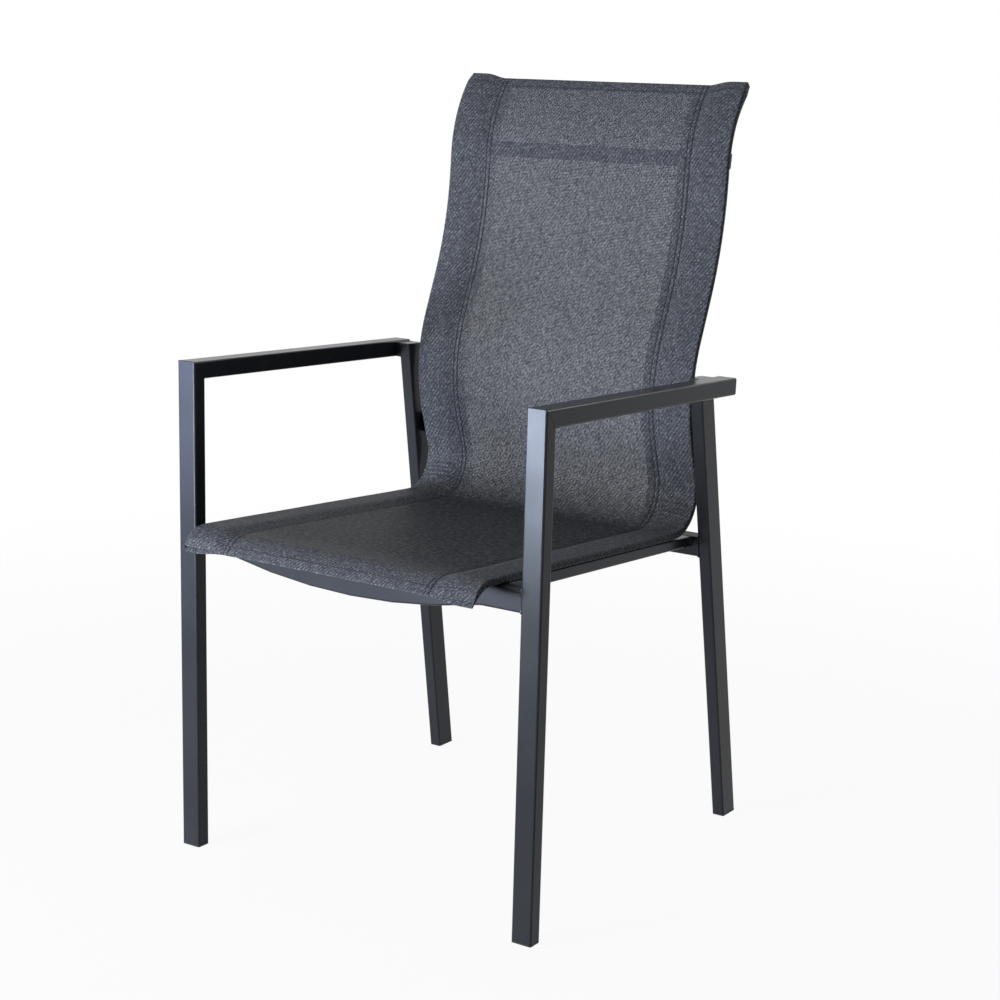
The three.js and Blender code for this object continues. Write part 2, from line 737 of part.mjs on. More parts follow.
// Back crossbar with its caps, screwed to the sling rails from behind
function addBackCrossbar() {
  const place = slingPlace('v', backBarZ);
  const depth = stack + gap + backBarDepth / 2;
  const capX = backBarHalfLength - backCapFlange;
  const length = 2 * (capX - gap);
  const stock = straight(tubeOutline(backBarDepth, backBarHeight), length).translate(0, 0, -length / 2);
  const bar = piece('back_crossbar', stock, powderCoat, place);
  bar.position.y = depth;
  bar.quaternion.setFromRotationMatrix(new THREE.Matrix4().makeBasis(yAxis, zAxis, xAxis));
  const flange = roundedRectangle(backBarDepth, backBarHeight, tubeCorner);
  for (const side of sides) {
    const plug = plugGeometry(flange, backCapFlange, boreOutline(backBarDepth, backBarHeight), backCapStub);
    const cap = piece(`back_crossbar_cap_${side.name}`, plug, blackPlastic, place);
    const outward = xAxis.clone().multiplyScalar(side.sign);
    const upward = zAxis.clone().multiplyScalar(side.sign);
    cap.position.set(side.sign * capX, depth, 0);
    cap.quaternion.setFromRotationMatrix(new THREE.Matrix4().makeBasis(yAxis, upward, outward));
  }
  const holes = sides.map((side) => [-1, 1].map((facing, index) => addScrew(
    `back_crossbar_screw_${side.name}_${index + 1}`,
    place,
    side.sign * (backBarHalfLength - backBarScrewInset - facing * backBarScrewPitch / 2),
    0,
    backBarDepth,
  )));
  cutAway(bar, holes.flat());
  return holes;
}

function addSeatBolts(side) {
  const frontY = frontLegDepth + frontBoltSetback;
  const rearY = rearBarTopEdge.y - rearBoltSetback;
  return [['front', frontY], ['rear', rearY]].map(([end, y]) => {
    const place = slingPlace('u', y);
    return addScrew(`seat_bolt_${end}_${side.name}`, place, side.sign * seatRailX, 0, seatRailHeight);
  });
}

addFrontCrossbar();
addRearCrossbar();
const slingHoles = [];
const backBarHoles = addBackCrossbar();
sides.forEach((side, index) => {
  addFrontLeg(side);
  addArmrest(side);
  addRearLeg(side);
  const bolts = addSeatBolts(side);
  addSeatRail(side, bolts);
  const railHoles = [...bolts, ...addBracket(side), ...backBarHoles[index]];
  addSlingRail(side, railHoles);
  addRailPlugs(side);
  slingHoles.push(...railHoles);
});
cutAway(piece('sling', slingGeometry(), meshCloth, slingParts), slingHoles);

// The origin is on the floor under the middle of the chair's bounding box
chair.updateMatrixWorld(true);
chair.position.y = -new THREE.Box3().setFromObject(chair, true).getCenter(new THREE.Vector3()).y;

export default chair;
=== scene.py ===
import json
import math

import bpy
from mathutils import Matrix, Vector, geometry, noise


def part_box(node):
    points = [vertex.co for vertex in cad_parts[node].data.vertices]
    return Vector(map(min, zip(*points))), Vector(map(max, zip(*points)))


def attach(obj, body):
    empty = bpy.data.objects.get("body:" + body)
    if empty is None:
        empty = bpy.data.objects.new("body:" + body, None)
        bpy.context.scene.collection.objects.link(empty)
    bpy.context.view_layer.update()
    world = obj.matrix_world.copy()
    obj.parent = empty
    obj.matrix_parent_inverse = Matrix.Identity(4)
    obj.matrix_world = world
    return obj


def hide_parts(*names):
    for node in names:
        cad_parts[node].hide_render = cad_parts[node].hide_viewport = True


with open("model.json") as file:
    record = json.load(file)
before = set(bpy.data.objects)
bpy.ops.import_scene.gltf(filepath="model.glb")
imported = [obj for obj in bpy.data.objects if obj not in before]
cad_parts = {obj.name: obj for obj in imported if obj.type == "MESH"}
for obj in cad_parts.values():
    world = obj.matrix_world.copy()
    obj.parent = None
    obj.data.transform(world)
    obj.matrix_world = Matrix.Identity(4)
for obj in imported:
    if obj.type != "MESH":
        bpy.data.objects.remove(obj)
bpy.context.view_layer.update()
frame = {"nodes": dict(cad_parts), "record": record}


# The photographer's camera. It stands in front of the chair and to its left, a little higher than the
# back, and is rolled by a degree and a half. Its distance ahead is from the front legs' front faces.
legs_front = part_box("front_leg_left")[0].y
azimuth, elevation, roll = math.radians(33.45), math.radians(13.785), math.radians(1.527)
camera_aside, camera_ahead, camera_height = 1.52507, 1.97205, 1.05529
back = Vector((
    math.sin(azimuth) * math.cos(elevation),
    -math.cos(azimuth) * math.cos(elevation),
    math.sin(elevation),
))
level = (-back).cross(Vector((0, 0, 1))).normalized()
upright = level.cross(-back)
across = level * math.cos(roll) + upright * math.sin(roll)
above = upright * math.cos(roll) - level * math.sin(roll)
camera = bpy.data.objects.new("camera", bpy.data.cameras.new("camera"))
bpy.context.scene.collection.objects.link(camera)
camera.matrix_world = (
    Matrix.Translation((camera_aside, legs_front - camera_ahead, camera_height))
    @ Matrix((across, above, back)).transposed().to_4x4()
)
camera.data.sensor_width = 36
camera.data.lens = 74.63
camera.data.shift_y = 0.06
camera.data.clip_start = 0.05
bpy.context.scene.camera = camera


# Floor, background and light of a photo studio. The floor is pale and matt, and fades into the white
# behind it. Two bluish softboxes and the light of a window come from in front of the chair, to its right.
# A weak lamp hangs over the chair, and another stands behind it.
class Wire:
    """An output socket of a node. Sums on wires add Math nodes."""

    def __init__(self, tree, socket=None):
        self.tree, self.socket = tree, socket

    def node(self, kind, inputs=(), output=0, **settings):
        """The output of a new node, with its settings and with the values or wires of its sockets."""
        made = self.tree.nodes.new("ShaderNode" + kind)
        for setting, value in settings.items():
            setattr(made, setting, value)
        for socket, value in dict(inputs).items():
            if isinstance(value, Wire):
                value.into(made.inputs[socket])
            else:
                made.inputs[socket].default_value = value
        return Wire(self.tree, made.outputs[output])

    def into(self, socket):
        self.tree.links.new(self.socket, socket)

    def sum(self, operation, *values):
        return self.node("Math", enumerate(values), operation=operation)

    def __add__(self, other):
        return self.sum("ADD", self, other)

    __radd__ = __add__

    def __sub__(self, other):
        return self.sum("SUBTRACT", self, other)

    def __rsub__(self, other):
        return self.sum("SUBTRACT", other, self)

    def __mul__(self, other):
        return self.sum("MULTIPLY", self, other)

    __rmul__ = __mul__

    def __truediv__(self, other):
        return self.sum("DIVIDE", self, other)

    def __gt__(self, other):
        return self.sum("GREATER_THAN", self, other)

    def between(self, low, high):
        """0 where the value is under low, 1 over high, and smooth between them."""
        ends = {"From Min": low, "From Max": high}
        return self.node("MapRange", {"Value": self, **ends}, interpolation_type="SMOOTHSTEP")

    def blend(self, first, second):
        """From the first colour where the value is 0 to the second where it is 1."""
        return self.node("Mix", {0: self, 6: first, 7: second}, output=2, data_type="RGBA")


def new_material(name):
    """A material, a wire to start its nodes from, and its Principled shader."""
    made = bpy.data.materials.new(name)
    made.use_nodes = True
    return made, Wire(made.node_tree), made.node_tree.nodes["Principled BSDF"]


def seen_white(start):
    """1 for what the camera sees, also in reflections and through clear things."""
    seen = start.node("LightPath")
    for ray in ("Is Glossy Ray", "Is Transmission Ray"):
        seen = start.sum("MAXIMUM", seen, start.node("LightPath", output=ray))
    return seen


studio_white = (1, 1, 1, 1)
floor_size = 60
bpy.ops.object.select_all(action="DESELECT")
bpy.ops.mesh.primitive_plane_add(size=floor_size, location=(0, 0, 0))
floor = bpy.context.active_object
floor.name = "floor"
floor_paint, start, shader = new_material("studio_floor")
shader.inputs["Base Color"].default_value = (0.5, 0.5, 0.5, 1)
shader.inputs["Roughness"].default_value = 0.9
shader.inputs["Specular IOR Level"].default_value = 0
glow = start.node("Emission", {"Color": studio_white, "Strength": 1.0})
matt = Wire(floor_paint.node_tree, shader.outputs[0])
whiteness = 0.94
pale = start.node("MixShader", {0: seen_white(start) * whiteness, 1: matt, 2: glow})
place = start.node("TexCoord", output=3)
faded = start.node("VectorMath", {0: place}, output=1, operation="LENGTH").between(0.6, 2.4)
surface = start.node("MixShader", {0: faded, 1: pale, 2: start.node("BsdfTransparent")})
surface.into(floor_paint.node_tree.nodes["Material Output"].inputs["Surface"])
floor.data.materials.append(floor_paint)

world = bpy.data.worlds.new("studio")
bpy.context.scene.world = world
world.use_nodes = True
start = Wire(world.node_tree)
room_light = 0.08
strength = seen_white(start) * (1 - room_light) + room_light
surround = start.node("Background", {"Color": studio_white, "Strength": strength})
surround.into(world.node_tree.nodes["World Output"].inputs["Surface"])

# Each lamp: name, place, what it points at, size, power and colour
for name, place, aim, size, power, colour in (
    ("softbox", (-0.95, -1.95, 1.00), (0, 0, 0.55), 0.9, 41, (0.92, 0.95, 1.0)),
    ("low_softbox", (-0.80, -1.93, 0.27), (0, 0, 0.45), 0.36, 37, (0.80, 0.87, 1.0)),
    ("window", (-1.88, -2.0, 0.25), (0, 0, 0.5), 0.42, 15, (0.57, 0.66, 1.0)),
    ("top_lamp", (-0.3, 0.2, 3.2), (0, 0, 0.5), 1.5, 14, (1, 1, 1)),
    ("rear_softbox", (1.0, 2.3, 2.1), (0, 0, 0.6), 0.8, 15, (0.95, 0.97, 1.0)),
):
    lamp = bpy.data.objects.new(name, bpy.data.lights.new(name, "AREA"))
    lamp.data.shape = "SQUARE"
    lamp.data.size = size
    lamp.data.energy = power
    lamp.data.color = colour
    lamp.location = place
    lamp.rotation_mode = "QUATERNION"
    lamp.rotation_quaternion = (Vector(place) - Vector(aim)).to_track_quat("Z", "Y")
    lamp.visible_camera = False
    bpy.context.scene.collection.objects.link(lamp)
bpy.context.scene.view_settings.view_transform = "Standard"


# Frame tubes: legs, armrests, crossbars and rails of square-edged aluminium tube, welded and then powder
# coated in satin dark grey. The coat has a faint orange peel and is a little smoother in places.
def near(start, scale, detail=2.0, roughness=0.5):
    """Noise from 0 to 1 that is fixed to the piece, with so many lumps to a metre."""
    place = start.node("TexCoord", output=3)
    sizes = {"Scale": scale, "Detail": detail, "Roughness": roughness}
    return start.node("TexNoise", {"Vector": place, **sizes})


coat, start, shader = new_material("dark_grey_powder_coat")
patches = near(start, 9).between(0.3, 0.7)
peel = near(start, 620, detail=1.0)
grain = near(start, 2600, detail=0.0)
shader.inputs["Specular IOR Level"].default_value = 0.16
shader.inputs["Specular Tint"].default_value = (0.84, 0.90, 1.0, 1)
tone = patches * 0.6 + grain * 0.4
tone.blend((0.0208, 0.0216, 0.0242, 1), (0.0256, 0.0266, 0.0292, 1)).into(shader.inputs["Base Color"])
(0.23 + 0.05 * patches + 0.03 * grain).into(shader.inputs["Roughness"])
skin = start.node("Bump", {"Height": peel * 0.8 + grain * 0.2, "Strength": 0.12, "Distance": 0.0002})
skin.into(shader.inputs["Normal"])


def in_slot(slot):
    """The CAD nodes of one of the record's material slots."""
    return [row["node"] for row in frame["record"]["subparts"] if row["material_slot"] == slot]


for name in in_slot("powder_coat"):
    frame["nodes"][name].data.materials.clear()
    frame["nodes"][name].data.materials.append(coat)


# Welds: a bead of filler all round each end of a tube, under the powder coat. Where two tubes are flush
# the bead is ground down, and elsewhere it stands as a small rounded fillet.
weld_gap = 0.0003
ground_bead, bracket_bead, front_bar_bead = 0.00042, 0.0016, 0.0017
rear_bar_bead, seat_rail_bead = 0.0018, 0.0020

# Radius of the filler in a groove, and the shares of it by which it lies aside and sunk
groove_bead, groove_aside, groove_sunk = 0.0014, 0.35, 0.93
bead_step = 0.0014
bead_ripple, ripples_to_metre = 0.06, 500


def end_face(name, toward):
    """Outline, middle and normal of the flat end of a CAD node that faces a way."""
    mesh = frame["nodes"][name].data
    way = Vector(toward).normalized()
    facing = [face for face in mesh.polygons if face.normal.dot(way) > 0.8]
    normal = max(facing, key=lambda face: face.area).normal.copy()
    end = [face for face in facing if face.normal.dot(normal) > 0.999]
    corners = [mesh.vertices[index].co for face in end for index in face.vertices]
    side = normal.orthogonal().normalized()
    over = normal.cross(side)
    flat = [(corner.dot(side), corner.dot(over)) for corner in corners]
    outline = [corners[index].copy() for index in geometry.convex_hull_2d(flat)]
    return outline, sum(outline, Vector()) / len(outline), normal


def finish_piece(piece, material):
    """Smooth shading, outward faces, a material, and the body of a new piece."""
    bpy.ops.object.select_all(action="DESELECT")
    bpy.context.view_layer.objects.active = piece
    piece.select_set(True)
    bpy.ops.object.mode_set(mode="EDIT")
    bpy.ops.mesh.select_all(action="SELECT")
    bpy.ops.mesh.remove_doubles(threshold=0.000001)
    bpy.ops.mesh.normals_make_consistent(inside=False)
    bpy.ops.object.mode_set(mode="OBJECT")
    bpy.ops.object.shade_smooth_by_angle(angle=math.radians(40))
    piece.data.materials.clear()
    piece.data.materials.append(material)
    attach(piece, "root")


def round_cord(name, lines, closed=False, sides=2):
    """Mesh of round beads or threads along lines of (point, radius)."""
    curve = bpy.data.curves.new(name, "CURVE")
    curve.dimensions = "3D"
    curve.bevel_depth = 1
    curve.bevel_resolution = sides
    curve.use_fill_caps = not closed
    for line in lines:
        spline = curve.splines.new("POLY")
        spline.points.add(len(line) - 1)
        spline.use_cyclic_u = closed
        for point, (place, radius) in zip(spline.points, line):
            point.co = (*place, 1)
            point.radius = radius
    cord = bpy.data.objects.new(name, curve)
    bpy.context.scene.collection.objects.link(cord)
    bpy.ops.object.select_all(action="DESELECT")
    bpy.context.view_layer.objects.active = cord
    cord.select_set(True)
    bpy.ops.object.convert(target="MESH")
    return bpy.context.active_object


def weld(name, tube, toward, size, flush=()):
    """Bead round the end of a tube.

    On the sides whose outward ways are given it fills the groove beside the other tube's rounded edge,
    and is ground flush.
    """
    outline, middle, normal = end_face(tube, toward)
    bead = []
    for here, there in zip(outline, outline[1:] + outline[:1]):
        outward = (there - here).cross(normal).normalized()
        if outward.dot(here - middle) < 0:
            outward = -outward
        ground = any(outward.dot(Vector(way)) > 0.7 for way in flush)
        filled = groove_bead if ground else 0
        shift = normal * (weld_gap / 2 + groove_aside * filled) - outward * groove_sunk * filled
        steps = max(1, round((there - here).length / bead_step))
        for step in range(steps):
            bead.append((here.lerp(there, step / steps) + shift, groove_bead if ground else size))
    line = []
    for index, (place, radius) in enumerate(bead):
        before, after = bead[index - 1], bead[(index + 1) % len(bead)]
        place = (before[0] + 2 * place + after[0]) / 4
        radius = (before[1] + 2 * radius + after[1]) / 4
        line.append((place, radius * (1 + bead_ripple * noise.noise(place * ripples_to_metre))))
    finish_piece(round_cord(name, [line], closed=True), coat)


front, rear, up, down = (0, -1, 0), (0, 1, 0), (0, 0, 1), (0, 0, -1)
for hand, sign in (("left", 1), ("right", -1)):
    outer, inner = (sign, 0, 0), (-sign, 0, 0)
    weld(f"weld_front_crossbar_{hand}", "front_crossbar", outer, front_bar_bead, flush=(front, rear))
    weld(f"weld_rear_crossbar_{hand}", "rear_crossbar", outer, rear_bar_bead)
    weld(f"weld_seat_rail_front_{hand}", f"seat_rail_{hand}", front, seat_rail_bead, flush=(up,))
    weld(f"weld_seat_rail_rear_{hand}", f"seat_rail_{hand}", rear, seat_rail_bead, flush=(up,))
    weld(f"weld_armrest_corner_{hand}", f"armrest_{hand}", (0, -1, -1), ground_bead)
    weld(f"weld_arm_joint_outer_{hand}", f"arm_joint_block_{hand}", outer, ground_bead)
    weld(f"weld_arm_joint_inner_{hand}", f"arm_joint_block_{hand}", inner, ground_bead)
    weld(f"weld_rear_leg_top_{hand}", f"rear_leg_{hand}", up, ground_bead)
    weld(f"weld_back_bracket_{hand}", f"back_bracket_{hand}", outer, bracket_bead)


# Feet and end plugs: black moulded plastic, pushed into the open ends of the tubes. It is matt, with a
# fine spark-eroded texture and faint scuffs.
plastic, start, shader = new_material("black_moulded_plastic")
texture = near(start, 1400, detail=2.0)
scuffs = near(start, 60, detail=4.0, roughness=0.7).between(0.55, 0.75)
scuffs.blend((0.012, 0.012, 0.013, 1), (0.020, 0.020, 0.021, 1)).into(shader.inputs["Base Color"])
(0.55 + 0.15 * scuffs).into(shader.inputs["Roughness"])
shader.inputs["Specular IOR Level"].default_value = 0.3
skin = start.node("Bump", {"Height": texture, "Strength": 0.4, "Distance": 0.0002})
skin.into(shader.inputs["Normal"])
for name in in_slot("black_plastic"):
    frame["nodes"][name].data.materials.clear()
    frame["nodes"][name].data.materials.append(plastic)


# Screws: button heads with a hexagon socket, of dark zinc-plated steel. They hold the sling rails to the
# seat rails, the back brackets and the back crossbar.
head_radius, head_height = 0.0045, 0.0028
shank_radius, shank_length, shank_chamfer = 0.0025, 0.012, 0.0006
socket_radius, socket_depth = 0.00173, 0.0016
edge_rounding = 0.00012

# The head's outline from the seat up: rise and share of the width of each step
head_steps = ((0.0009, 1.0), (0.0008, 0.95), (0.0006, 0.87), (0.0005, 0.72))
bpy.ops.object.select_all(action="DESELECT")
bpy.ops.mesh.primitive_circle_add(vertices=32, radius=head_radius, fill_type="NGON", location=(0, 0, 0))
button = bpy.context.active_object
bpy.ops.object.mode_set(mode="EDIT")
for rise, width in head_steps:
    bpy.ops.mesh.extrude_region_move(TRANSFORM_OT_translate={"value": (0, 0, rise)})
    bpy.ops.transform.resize(value=(width, width, 1), center_override=(0, 0, 0))
bpy.ops.object.mode_set(mode="OBJECT")
for face in button.data.polygons:
    face.select = face.center.z < 0.00001
bpy.ops.object.mode_set(mode="EDIT")
bpy.ops.mesh.select_mode(type="FACE")
bpy.ops.mesh.inset(thickness=head_radius - shank_radius)
bpy.ops.mesh.extrude_region_move(TRANSFORM_OT_translate={"value": (0, 0, shank_chamfer - shank_length)})
bpy.ops.mesh.extrude_region_move(TRANSFORM_OT_translate={"value": (0, 0, -shank_chamfer)})
bpy.ops.transform.resize(value=(0.8, 0.8, 1), center_override=(0, 0, 0))
bpy.ops.mesh.select_all(action="SELECT")
bpy.ops.mesh.normals_make_consistent(inside=False)
bpy.ops.object.mode_set(mode="OBJECT")
bpy.ops.object.select_all(action="DESELECT")
bpy.ops.mesh.primitive_cylinder_add(
    vertices=6, radius=socket_radius, depth=2 * socket_depth, location=(0, 0, head_height)
)
socket = bpy.context.active_object
cut = button.modifiers.new("socket", "BOOLEAN")
cut.operation = "DIFFERENCE"
cut.object = socket
bpy.ops.object.select_all(action="DESELECT")
bpy.context.view_layer.objects.active = button
button.select_set(True)
bpy.ops.object.modifier_apply(modifier="socket")
rounding = button.modifiers.new("edges", "BEVEL")
rounding.width = edge_rounding
rounding.segments = 2
rounding.limit_method = "ANGLE"
rounding.angle_limit = math.radians(35)
bpy.ops.object.modifier_apply(modifier="edges")
bpy.data.objects.remove(socket)

screw_steel, start, shader = new_material("dark_zinc_plated_steel")
mottle = near(start, 900, detail=3.0)
mottle.blend((0.16, 0.16, 0.17, 1), (0.23, 0.23, 0.24, 1)).into(shader.inputs["Base Color"])
(0.28 + 0.2 * mottle).into(shader.inputs["Roughness"])
shader.inputs["Metallic"].default_value = 1
skin = start.node("Bump", {"Height": mottle, "Strength": 0.2, "Distance": 0.0001})
skin.into(shader.inputs["Normal"])

for name in in_slot("screw_steel"):
    _, top, axis = end_face(name, down if name.startswith("seat") else rear)
    lengths = [(top - corner.co).dot(axis) for corner in frame["nodes"][name].data.vertices]
    screw = bpy.data.objects.new("socket_" + name, button.data.copy())
    bpy.context.scene.collection.objects.link(screw)
    for corner in screw.data.vertices:
        if corner.co.z < -0.001:
            corner.co.z *= (max(lengths) - head_height) / shank_length
    screw.data.transform(
        Matrix.Translation(top - axis * head_height) @ axis.to_track_quat("Z", "Y").to_matrix().to_4x4()
    )
    finish_piece(screw, screw_steel)
    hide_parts(name)
bpy.data.objects.remove(button)


# Sling: one piece of coated mesh cloth, seat and back in one. Each side is folded round its rail and sewn
# to itself along two lines. The front and top edges are hemmed, and the front mouths of the sleeves are
# pressed flat.
cloth_thickness = 0.0009
sleeve_thickness = 0.0104
hem_depth = 0.016
hem_stitch = 0.014
seam_lines = (0.1583, 0.1648)
between_seams = sum(seam_lines) / 2

# Side line of the upper face, from the front mouth to the top: length and turn of each stretch
side_start = (legs_front - 0.061196, 0.431470, math.radians(60.3613))
side_stretches = [
    (0.050 * math.radians(63.5), math.radians(-63.5)),
    (0.440021, 0),
    (0.0475 * math.radians(110.5), math.radians(110.5)),
    (0.0525, 0),
    (0.214 * math.radians(39.2), math.radians(-39.2)),
    (0.0594, 0),
    (0.467 * math.radians(18.7), math.radians(18.7)),
    (0.0196, 0),
    (0.181 * math.radians(37), math.radians(-37)),
    (0.010, 0),
]
side_length = sum(length for length, turn in side_stretches)


def side_place(distance):
    """Y, Z and heading of the side line at a distance from the front mouth."""
    y, z, heading = side_start
    for index, (length, turn) in enumerate(side_stretches):
        part = distance if index == len(side_stretches) - 1 else min(distance, length)
        if turn:
            radius = length / turn
            ahead = heading + part / radius
            y += radius * (math.sin(ahead) - math.sin(heading))
            z -= radius * (math.cos(ahead) - math.cos(heading))
            heading = ahead
        else:
            y += part * math.cos(heading)
            z += part * math.sin(heading)
        distance -= part
        if distance <= 0:
            break
    return y, z, heading


def smooth(value, low, high):
    share = min(max((value - low) / (high - low), 0), 1)
    return share * share * (3 - 2 * share)


# Half of the cloth's section from the middle out: distance from the middle, depth of the middle of the
# cloth under the side line, and the direction of the inside of the sleeve
panel_depth = 0.0049
half_cloth = cloth_thickness / 2
flap_depth = panel_depth + cloth_thickness + 0.00005
outermost = 0.22405
upper_bend, lower_bend = 0.0022, 0.0046
bend_x = outermost - lower_bend
flap_end = 0.1470


def half_section():
    beside_seam = (-0.002, -0.001, -0.0005, 0, 0.0005, 0.001, 0.002)
    seams = [line + step for line in seam_lines for step in beside_seam]
    panel = sorted([index * 0.0078 for index in range(1, 20)] + [0.1525, between_seams, *seams])
    section = [(x, panel_depth, 0, 1) for x in panel]
    rise = [(0.172, 0.0037), (0.1765, 0.0023), (0.181, 0.0012), (0.1855, 0.00062), (0.190, half_cloth)]
    section += [(x, depth, 0, 1) for x, depth in rise]
    section += [(x, half_cloth, 0, 1) for x in (0.197, 0.204, 0.211, 0.2165)]
    for first, radius, middle in (
        (-1, upper_bend, half_cloth + upper_bend),
        (0, lower_bend, sleeve_thickness - half_cloth - lower_bend),
    ):
        for step in range(6):
            angle = math.pi / 2 * (first + step / 5)
            outward, sunk = math.cos(angle), math.sin(angle)
            x = outermost - radius + radius * outward
            section.append((x, middle + radius * sunk, -outward, -sunk))
    section += [(x, sleeve_thickness - half_cloth, 0, -1) for x in (0.2165, 0.211, 0.204, 0.197)]
    section += [(x, sleeve_thickness - depth, 0, -1) for x, depth in reversed(rise[1:])]
    section += [(0.172, 0.0072, 0, -1), (0.1685, flap_depth + 0.0001, 0, -1)]
    flap = (0.1665, seam_lines[1], between_seams, seam_lines[0], 0.1525, flap_end)
    section += [(x, flap_depth, 0, -1) for x in flap]
    return section


right_half = half_section()
section = [(-x, depth, -inward, inside) for x, depth, inward, inside in reversed(right_half)]
section += [(0, panel_depth, 0, 1)] + right_half
widths = [0]
for (x, depth, *_), (next_x, next_depth, *_) in zip(section, section[1:]):
    widths.append(widths[-1] + math.hypot(next_x - x, next_depth - depth))

# Rows of the cloth along the side line: distance from the front mouth, and how far the row lies inside
# the outer layer, which is one cloth where it is folded in for the hem
edge_rows = [0.0002, 0.001, 0.004, 0.008, 0.012, 0.0132, hem_stitch, 0.0148, 0.016, 0.018, 0.022]
hem_rows = [(distance, 1) for distance in (hem_depth, 0.012, 0.008, 0.004, 0.001, 0.0002)]
crease_start, crease_end = 0.525, 0.569
fine_step, row_step = 0.0008, 0.005
outer_rows = list(edge_rows)
while outer_rows[-1] < side_length - edge_rows[-1] - 0.006:
    creased = crease_start < outer_rows[-1] < crease_end
    outer_rows.append(outer_rows[-1] + (fine_step if creased else row_step))
outer_rows += [side_length - distance for distance in reversed(edge_rows)]
hem_fold = 0.0004
rows = hem_rows + [(-hem_fold, 0.5)] + [(distance, 0) for distance in outer_rows]
rows += [(side_length + hem_fold, 0.5)]
rows += [(side_length - distance, layer) for distance, layer in reversed(hem_rows)]


crumple_height, fold_length = 0.0013, 0.0066


def crumpled(width, distance):
    """How much the sleeve is crumpled, where seat turns into back."""
    share = smooth(distance, 0.526, 0.538) * (1 - smooth(distance, 0.558, 0.568))
    return share * smooth(width, 0.168, 0.178) * (1 - smooth(width, 0.206, 0.216))


def fold_phase(x, distance):
    """Phase of the small folds of the crumpled sleeve. Sharp creases lie at odd quarters of a turn."""
    wander = 0.0012 * noise.noise(Vector((x * 60, distance * 60, 0.3)))
    return math.pi * (distance + 0.05 * abs(x) + wander) / fold_length


# The cloth's edges. Mouths are the open ends of the sleeves. The hems' middles lie further in than the
# sleeves' ends, and the front sleeves' upper layer further than their lower one.
hem_inset, lip_step, inset_reach = 0.0055, 0.0075, 0.07
front_flatness, front_mouth, mouth_spread = 0.695, 0.018, 0.0025
top_flatness, top_mouth = 0.4, 0.016
stand_off, stand_off_reach = 1.25, 0.080
hem_room = 0.0019
sleeve_start = 0.166

# Depths to which the threads draw the cloth in, and the height of the ridge between two seams
seam_groove, seam_ridge, hem_groove = 0.00045, 0.0003, 0.0002
seam_turn = 0.006
unevenness = 0.00025
layer_step = 0.001


def cloth_point(x, depth, inward, inside, distance, layer=0):
    """A point of the cloth in the row frame, from its place in the section and along the side line."""
    width, side = abs(x), math.copysign(1, x)
    front_end = distance < side_length / 2
    from_edge = min(distance, side_length - distance)
    in_sleeve = smooth(width, sleeve_start, 0.2)
    inset = hem_inset * (1 - in_sleeve)
    if front_end:
        inset += lip_step * in_sleeve * (1 + inside) / 2
    inset *= 1 - smooth(from_edge, 0, inset_reach)
    # the empty mouths are pressed flat, at the front more than at the top
    if front_end:
        flatness = front_flatness * (1 - smooth(distance, 0, front_mouth))
        spread = mouth_spread
    else:
        flatness = top_flatness * (1 - smooth(from_edge, 0, top_mouth))
        spread = 0
    thickness = 1 - flatness * smooth(width, sleeve_start, 0.176)
    behind = max(depth - sleeve_thickness / 2, 0)
    depth = sleeve_thickness / 2 + (depth - sleeve_thickness / 2) * thickness
    if width > bend_x:
        x = side * (bend_x + (width - bend_x) * thickness)
    x += side * spread * flatness / front_flatness * smooth(width, 0.19, bend_x)
    if not front_end:
        # towards the top mouth the sleeve's rear layer stands off
        near_mouth = 1 - smooth(from_edge, 0, stand_off_reach)
        depth += stand_off * behind * near_mouth * smooth(width, 0.185, 0.210)
    if inside < 0:
        # room for the hem's four layers under the end of the flap
        over_hem = 1 - smooth(from_edge, 0.017, 0.035)
        depth += hem_room * over_hem * (1 - smooth(width, 0.1665, 0.185))
    elif layer == 0:
        # both lines of stitches draw the cloth in, and it stands up between them
        for line in seam_lines:
            depth += seam_groove * math.exp(-((width - line) / 0.0008) ** 2)
        depth -= seam_ridge * math.exp(-((width - between_seams) / 0.0016) ** 2)
        depth += hem_groove * math.exp(-((from_edge - hem_stitch) / 0.0009) ** 2)
        folds = abs(math.cos(fold_phase(x, distance)))
        depth -= crumple_height * crumpled(width, distance) * folds
    # near the front the seams run inwards a little
    turned = (1 - smooth(distance, 0, 0.11)) * smooth(width, 0.08, 0.157) * (1 - in_sleeve)
    x -= side * seam_turn * turned
    depth += unevenness * noise.noise(Vector((x * 14, distance * 11, 0.7)))
    x += layer * inward * layer_step
    depth += layer * inside * layer_step
    y, z, heading = side_place(distance + (inset if front_end else -inset))
    return Vector((x, y + depth * math.sin(heading), z - depth * math.cos(heading)))


mesh = bpy.data.meshes.new("sling_cloth")
points, faces, painted_seam_crease_shade = [], [], []
for distance, layer in rows:
    for x, depth, inward, inside in section:
        points.append(cloth_point(x, depth, inward, inside, distance, layer))
        # Painted shade: how much the cloth's colour is darkened in the seam grooves, along the hem
        # stitching, in the valleys of the crumpled sleeve and along the top fold
        off_seam = min(abs(abs(x) - line) for line in seam_lines)
        off_hem = abs(min(distance, side_length - distance) - hem_stitch)
        seam_shade = math.exp(-((off_seam / 0.0012) ** 2))
        hem_shade = 0.3 * math.exp(-((off_hem / 0.0009) ** 2))
        valley = abs(math.sin(fold_phase(x, distance))) ** 12
        crease_shade = 0.7 * crumpled(abs(x), distance) * valley
        top_fold_shade = 0.8 * smooth(distance, side_length - 0.0015, side_length)
        painted_seam_crease_shade.append(max(seam_shade, hem_shade, crease_shade, top_fold_shade) if layer < 1 and inside > 0 else 0)
columns = len(section)
for row in range(len(rows) - 1):
    for column in range(columns - 1):
        corner = row * columns + column
        faces.append((corner, corner + 1, corner + columns + 1, corner + columns))
mesh.from_pydata([tuple(point) for point in points], [], faces)
mesh.attributes.new("painted_seam_crease_shade", "FLOAT", "POINT").data.foreach_set("value", painted_seam_crease_shade)
lengths = [0]
